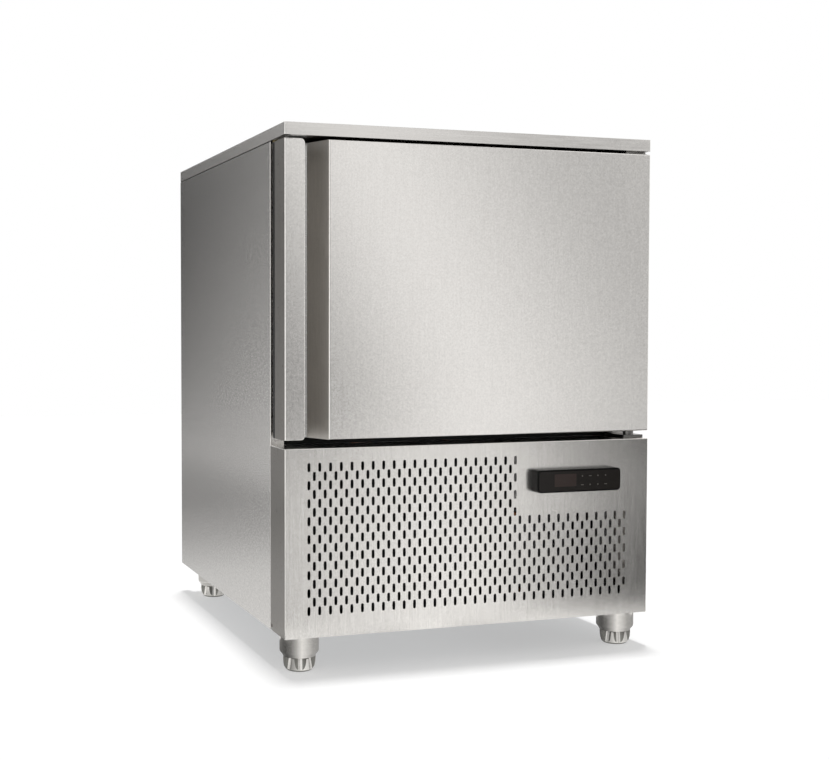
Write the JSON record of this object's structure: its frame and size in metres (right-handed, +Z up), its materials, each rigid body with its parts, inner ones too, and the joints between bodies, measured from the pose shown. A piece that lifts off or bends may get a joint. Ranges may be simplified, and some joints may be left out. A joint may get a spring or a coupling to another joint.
{
  "type": "blast chiller",
  "caption": "Under-counter stainless blast chiller: insulated tray chamber behind a hinged full-width door, slotted condenser panel, small control strip and levelling feet.",
  "frame": {"origin": "bottom centre of the object's box: on the floor, midway between the sides and midway between the controller's front face and the back", "axes": "+Z up, -Y towards the front (the door), +X towards the hinge side"},
  "size_m": [0.8, 0.906, 1.063],
  "materials": {
    "satin_steel": "satin-polished stainless sheet, fine grain",
    "chamber_steel": "bright satin stainless sheet",
    "dark_steel": "plain machined steel",
    "galvanised_sheet": "dull galvanised sheet",
    "fin_aluminium": "thin bare aluminium fins",
    "copper": "drawn copper tube",
    "foam": "rigid polyurethane foam",
    "board": "stiffening board",
    "gasket_rubber": "soft black magnetic gasket",
    "nylon": "natural nylon",
    "black_plastic": "smooth black plastic",
    "black_lacquer": "black lacquered steel",
    "lens": "smoked glossy overlay",
    "grey_plastic": "grey plastic"
  },
  "bodies": {
    "cabinet": {"worktop": "satin_steel", "worktop_core": "board", "left_side_panel": "satin_steel", "right_side_panel": "satin_steel", "back_panel": "galvanised_sheet", "rear_vent_cover": "galvanised_sheet", "base_pan": "galvanised_sheet", "front_vent_panel": "satin_steel", "front_frame": "satin_steel", "chamber_liner": "chamber_steel", "cabinet_insulation": "foam", "compartment_ceiling": "galvanised_sheet", "left_tray_rack": "chamber_steel", "right_tray_rack": "chamber_steel", "probe_holder": "nylon", "core_probe": "dark_steel", "fan_baffle": "chamber_steel", "evaporator_motor": "black_lacquer", "evaporator_guard": "dark_steel", "evaporator_coil": "fin_aluminium", "evaporator_drip_tray": "chamber_steel", "drain_pipe": "grey_plastic", "condenser_coil": "fin_aluminium", "condenser_shroud": "galvanised_sheet", "compressor": "black_lacquer", "compressor_terminal_cover": "black_plastic", "liquid_receiver": "black_lacquer", "filter_drier": "copper", "condenser_motor": "black_lacquer", "suction_pipe": "copper", "discharge_pipe": "copper", "condensate_pipe": "copper", "liquid_pipe": "copper", "electrical_box": "galvanised_sheet", "electrical_box_lid": "galvanised_sheet", "controller_housing": "black_plastic", "controller_lens": "lens", "cable_gland": "grey_plastic", "leg_front_left": "satin_steel", "leg_front_right": "satin_steel", "leg_rear_left": "satin_steel", "leg_rear_right": "satin_steel", "lower_hinge": "dark_steel", "upper_hinge": "dark_steel"},
    "door": {"door_skin": "satin_steel", "door_handle": "satin_steel", "door_insulation": "foam", "door_liner": "chamber_steel", "door_gasket": "gasket_rubber", "lower_door_bush": "nylon", "upper_door_bush": "nylon"},
    "evaporator_rotor": {"evaporator_fan": "black_plastic"},
    "condenser_rotor": {"condenser_fan": "black_plastic"},
    "front_left_foot": {"foot_front_left": "satin_steel"},
    "front_right_foot": {"foot_front_right": "satin_steel"},
    "rear_left_foot": {"foot_rear_left": "satin_steel"},
    "rear_right_foot": {"foot_rear_right": "satin_steel"}
  },
  "joints": [
    {"name": "door_hinge", "type": "hinge", "parent": "cabinet", "child": "door", "pos_m": [0.376, -0.389, 0.456], "axis": [0, 0, 1], "range_deg": [0, 110]},
    {"name": "evaporator_fan_spin", "type": "hinge", "parent": "cabinet", "child": "evaporator_rotor", "pos_m": [0, 0.1482, 0.744], "axis": [0, 1, 0], "continuous": true},
    {"name": "condenser_fan_spin", "type": "hinge", "parent": "cabinet", "child": "condenser_rotor", "pos_m": [-0.114, -0.3005, 0.2435], "axis": [0, 1, 0], "continuous": true},
    {"name": "front_left_levelling", "type": "slide", "parent": "cabinet", "child": "front_left_foot", "axis": [0, 0, -1], "range_m": [0, 0.025]},
    {"name": "front_right_levelling", "type": "slide", "parent": "cabinet", "child": "front_right_foot", "axis": [0, 0, -1], "range_m": [0, 0.025]},
    {"name": "rear_left_levelling", "type": "slide", "parent": "cabinet", "child": "rear_left_foot", "axis": [0, 0, -1], "range_m": [0, 0.025]},
    {"name": "rear_right_levelling", "type": "slide", "parent": "cabinet", "child": "rear_right_foot", "axis": [0, 0, -1], "range_m": [0, 0.025]}
  ]
}
